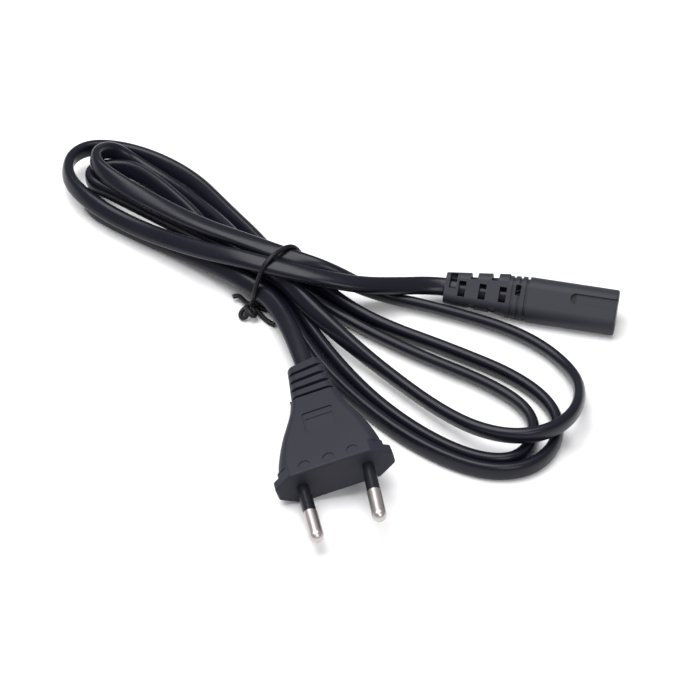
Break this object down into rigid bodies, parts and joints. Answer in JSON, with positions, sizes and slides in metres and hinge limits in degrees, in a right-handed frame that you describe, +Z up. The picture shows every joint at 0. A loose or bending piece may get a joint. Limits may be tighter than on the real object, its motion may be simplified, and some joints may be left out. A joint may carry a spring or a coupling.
{
  "type": "power cord",
  "caption": "Flat mains lead with a round-pin plug and a figure-eight appliance connector, folded into a hank and held by a twist tie.",
  "frame": {"origin": "middle of the tied hank's overall box on the surface it lies on", "axes": "+Z up from the surface, +X from the looped end towards the connector, +Y away from the plug"},
  "size_m": [0.1681, 0.1642, 0.0203],
  "materials": {
    "cord": "satin",
    "plug": "matte",
    "sleeve": "gloss",
    "pin": "satin nickel plate",
    "brown_core": "satin",
    "blue_core": "satin",
    "connector": "matte",
    "insert": "matte",
    "contact": "satin",
    "tie": "satin"
  },
  "bodies": {
    "root": {"cord": "cord", "plug_body": "plug", "pin_bridge": "sleeve", "left_pin": "pin", "right_pin": "pin", "plug_brown_core": "brown_core", "plug_blue_core": "blue_core", "connector_body": "connector", "connector_jacket": "cord", "connector_insert": "insert", "near_contact": "contact", "far_contact": "contact", "connector_brown_core": "brown_core", "connector_blue_core": "blue_core", "twist_tie": "tie"}
  },
  "joints": []
}
